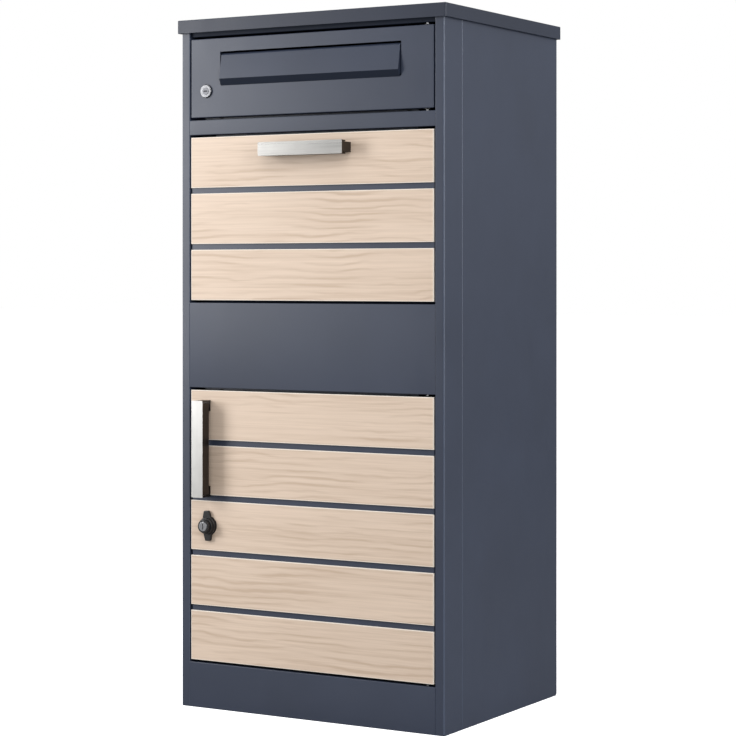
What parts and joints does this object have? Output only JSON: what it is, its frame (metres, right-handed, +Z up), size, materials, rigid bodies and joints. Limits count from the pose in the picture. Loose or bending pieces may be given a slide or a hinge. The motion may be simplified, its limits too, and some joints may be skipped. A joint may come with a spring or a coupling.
{
  "type": "parcel and letter drop cabinet",
  "caption": "Free-standing steel mailbox cabinet with a letter door and flap above, a tilting parcel hopper, and a lockable parcel door below, clad in pale wood boards.",
  "frame": {"origin": "middle of the floor plate's underside, on the floor", "axes": "+Z up, the front faces -Y, +X to the right as seen from the front"},
  "size_m": [0.46, 0.39, 1.03],
  "materials": {
    "anthracite_paint": "fine-texture anthracite powder coat, satin",
    "oak_board": "pale oak boards with horizontal grain, matt",
    "brushed_steel": "brushed along the length",
    "zinc_steel": "zinc plated, dull",
    "chrome": "polished nickel",
    "black_plastic": "black moulded, satin",
    "rubber": "black, dull",
    "bush_plastic": "black acetal"
  },
  "bodies": {
    "cabinet": {"corner_post_left": "anthracite_paint", "corner_post_right": "anthracite_paint", "side_panel_left": "anthracite_paint", "side_panel_right": "anthracite_paint", "back_panel": "anthracite_paint", "base_plate": "anthracite_paint", "floor_mat": "rubber", "lid": "anthracite_paint", "lid_nuts": "zinc_steel", "header_rail": "anthracite_paint", "letter_rail": "anthracite_paint", "middle_panel": "anthracite_paint", "plinth_panel": "anthracite_paint", "rail_rivets": "zinc_steel", "letter_floor": "anthracite_paint", "rear_baffle": "anthracite_paint", "door_pins": "zinc_steel", "hopper_pins": "zinc_steel", "door_bumpers": "rubber"},
    "letter_door": {"letter_door": "anthracite_paint", "letter_bushes": "bush_plastic", "slot_frame": "anthracite_paint", "letter_lock_body": "chrome", "letter_lock_nut": "zinc_steel"},
    "letter_flap": {"letter_flap": "anthracite_paint", "flap_rod": "zinc_steel"},
    "letter_lock": {"letter_lock_plug": "chrome", "letter_lock_cam": "zinc_steel", "letter_cam_screw": "zinc_steel"},
    "hopper": {"hopper_front": "anthracite_paint", "hopper_plank_1": "oak_board", "hopper_plank_2": "oak_board", "hopper_plank_3": "oak_board", "hopper_cheek_left": "anthracite_paint", "hopper_cheek_right": "anthracite_paint", "scoop": "anthracite_paint", "hopper_bushes": "bush_plastic", "hopper_handle": "brushed_steel", "hopper_handle_screws": "zinc_steel"},
    "parcel_door": {"parcel_door": "anthracite_paint", "parcel_plank_1": "oak_board", "parcel_plank_2": "oak_board", "parcel_plank_3": "oak_board", "parcel_plank_4": "oak_board", "parcel_plank_5": "oak_board", "parcel_stiffener": "anthracite_paint", "parcel_bushes": "bush_plastic", "parcel_handle": "brushed_steel", "parcel_handle_screws": "zinc_steel", "parcel_lock_body": "black_plastic", "parcel_lock_nut": "zinc_steel"},
    "parcel_lock": {"wing_knob": "black_plastic", "knob_core": "chrome", "parcel_lock_cam": "zinc_steel", "parcel_cam_screw": "zinc_steel"}
  },
  "joints": [
    {"name": "letter_door_hinge", "type": "hinge", "parent": "cabinet", "child": "letter_door", "pos_m": [0.19445, -0.172, 0.9419], "axis": [0, 0, 1], "range_deg": [0, 105]},
    {"name": "letter_flap_hinge", "type": "hinge", "parent": "letter_door", "child": "letter_flap", "pos_m": [0, -0.1756, 0.9754], "axis": [-1, 0, 0], "range_deg": [0, 75]},
    {"name": "letter_lock_turn", "type": "hinge", "parent": "letter_door", "child": "letter_lock", "pos_m": [-0.18, -0.17, 0.9222], "axis": [0, -1, 0], "range_deg": [0, 90]},
    {"name": "hopper_tilt", "type": "hinge", "parent": "cabinet", "child": "hopper", "pos_m": [0, -0.172, 0.62091], "axis": [1, 0, 0], "range_deg": [0, 50]},
    {"name": "parcel_door_hinge", "type": "hinge", "parent": "cabinet", "child": "parcel_door", "pos_m": [0.19445, -0.172, 0.2732], "axis": [0, 0, 1], "range_deg": [0, 105]},
    {"name": "parcel_lock_turn", "type": "hinge", "parent": "parcel_door", "child": "parcel_lock", "pos_m": [-0.176, -0.17, 0.2732], "axis": [0, -1, 0], "range_deg": [0, 90]}
  ]
}
